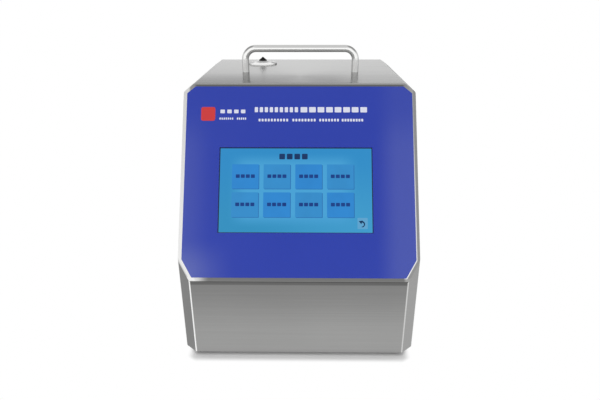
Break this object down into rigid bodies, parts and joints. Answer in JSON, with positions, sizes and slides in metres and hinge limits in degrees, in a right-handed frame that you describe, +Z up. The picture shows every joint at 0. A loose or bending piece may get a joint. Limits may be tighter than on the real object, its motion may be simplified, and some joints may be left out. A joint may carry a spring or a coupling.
{
  "type": "airborne particle counter",
  "caption": "Portable airborne particle counter: bevelled stainless housing with a sloping touch display, top handle, sampling inlet, and a rear panel with fan, mains inlet and exhaust port.",
  "frame": {"origin": "on the standing surface, under the middle of the whole object with its rear exhaust stub", "axes": "+X to the right seen from the front, across the width, the shortest extent; +Y from the front to the rear; +Z up"},
  "size_m": [0.24, 0.304, 0.2964],
  "materials": {
    "brushed_stainless": "satin stainless sheet, brushed, welds ground smooth",
    "polished_stainless": "polished stainless, turned or drawn",
    "blue_sheet": "blue printed polycarbonate sheet, fine satin gloss",
    "dark_glass": "touch glass over the display, gloss",
    "black_plastic": "moulded black plastic, fine texture",
    "black_rubber": "soft black rubber",
    "zinc_steel": "zinc-plated steel",
    "port_steel": "nickel-plated pressed steel",
    "brass": "turned brass",
    "green_board": "green solder mask on glass-fibre board",
    "clear_silicone": "translucent silicone hose",
    "white_plastic": "white moulded filter capsule",
    "blue_wrap": "shrink-wrapped battery pack",
    "black_aluminium": "black anodised aluminium",
    "cast_grey": "machined aluminium",
    "lens_glass": "polished optical glass",
    "fuse_metal": "nickel-plated end caps on a glass tube"
  },
  "bodies": {
    "housing": {"casing": "brushed_stainless", "base_plate": "brushed_stainless", "rear_panel": "brushed_stainless", "front_overlay": "blue_sheet", "touch_glass": "dark_glass", "lcd_module": "black_plastic", "display_bracket": "zinc_steel", "bracket_nuts": "zinc_steel", "board_standoffs": "brass", "main_board": "green_board", "handle": "polished_stainless", "handle_screws": "zinc_steel", "handle_washers": "zinc_steel", "inlet_fitting": "polished_stainless", "inlet_nut": "polished_stainless", "inlet_hose": "clear_silicone", "jet_nozzle": "brass", "sensor_block": "black_aluminium", "laser_module": "brass", "beam_trap": "black_aluminium", "detector_tube": "black_aluminium", "collecting_lens": "lens_glass", "detector_board": "green_board", "sensor_outlet": "brass", "sensor_bracket": "zinc_steel", "pump_hose": "clear_silicone", "pump_head": "cast_grey", "pump_motor": "zinc_steel", "pump_bracket": "zinc_steel", "pump_grommets": "black_rubber", "filter_hose": "clear_silicone", "exhaust_filter": "white_plastic", "filter_cradle": "black_plastic", "exhaust_hose": "clear_silicone", "exhaust_port": "polished_stainless", "exhaust_nut": "polished_stainless", "battery_pack": "blue_wrap", "battery_strap": "zinc_steel", "power_supply": "green_board", "supply_standoffs": "brass", "power_inlet": "black_plastic", "power_pins": "brass", "switch_housing": "black_plastic", "serial_port": "port_steel", "usb_port": "port_steel", "comm_board": "green_board", "fan_frame": "black_plastic", "fan_guard": "port_steel", "fan_screws": "zinc_steel", "feet": "black_rubber", "foot_screws": "zinc_steel", "panel_screws": "zinc_steel", "inner_screws": "zinc_steel"},
    "inlet_cap": {"inlet_cap": "black_rubber"},
    "fuse_drawer": {"fuse_drawer": "black_plastic", "fuse": "fuse_metal"},
    "switch_rocker": {"switch_rocker": "black_plastic"},
    "fan_rotor": {"fan_rotor": "black_plastic"}
  },
  "joints": [
    {"name": "cap_pull", "type": "slide", "parent": "housing", "child": "inlet_cap", "axis": [0, 0, 1], "range_m": [0, 0.06]},
    {"name": "fuse_drawer_slide", "type": "slide", "parent": "housing", "child": "fuse_drawer", "axis": [0, 1, 0], "range_m": [0, 0.016]},
    {"name": "power_rocker", "type": "hinge", "parent": "housing", "child": "switch_rocker", "pos_m": [0.024, 0.136, 0.117], "axis": [1, 0, 0], "range_deg": [0, 16]},
    {"name": "fan_spin", "type": "hinge", "parent": "housing", "child": "fan_rotor", "pos_m": [0.052, 0.128, 0.197], "axis": [0, 1, 0], "continuous": true}
  ]
}
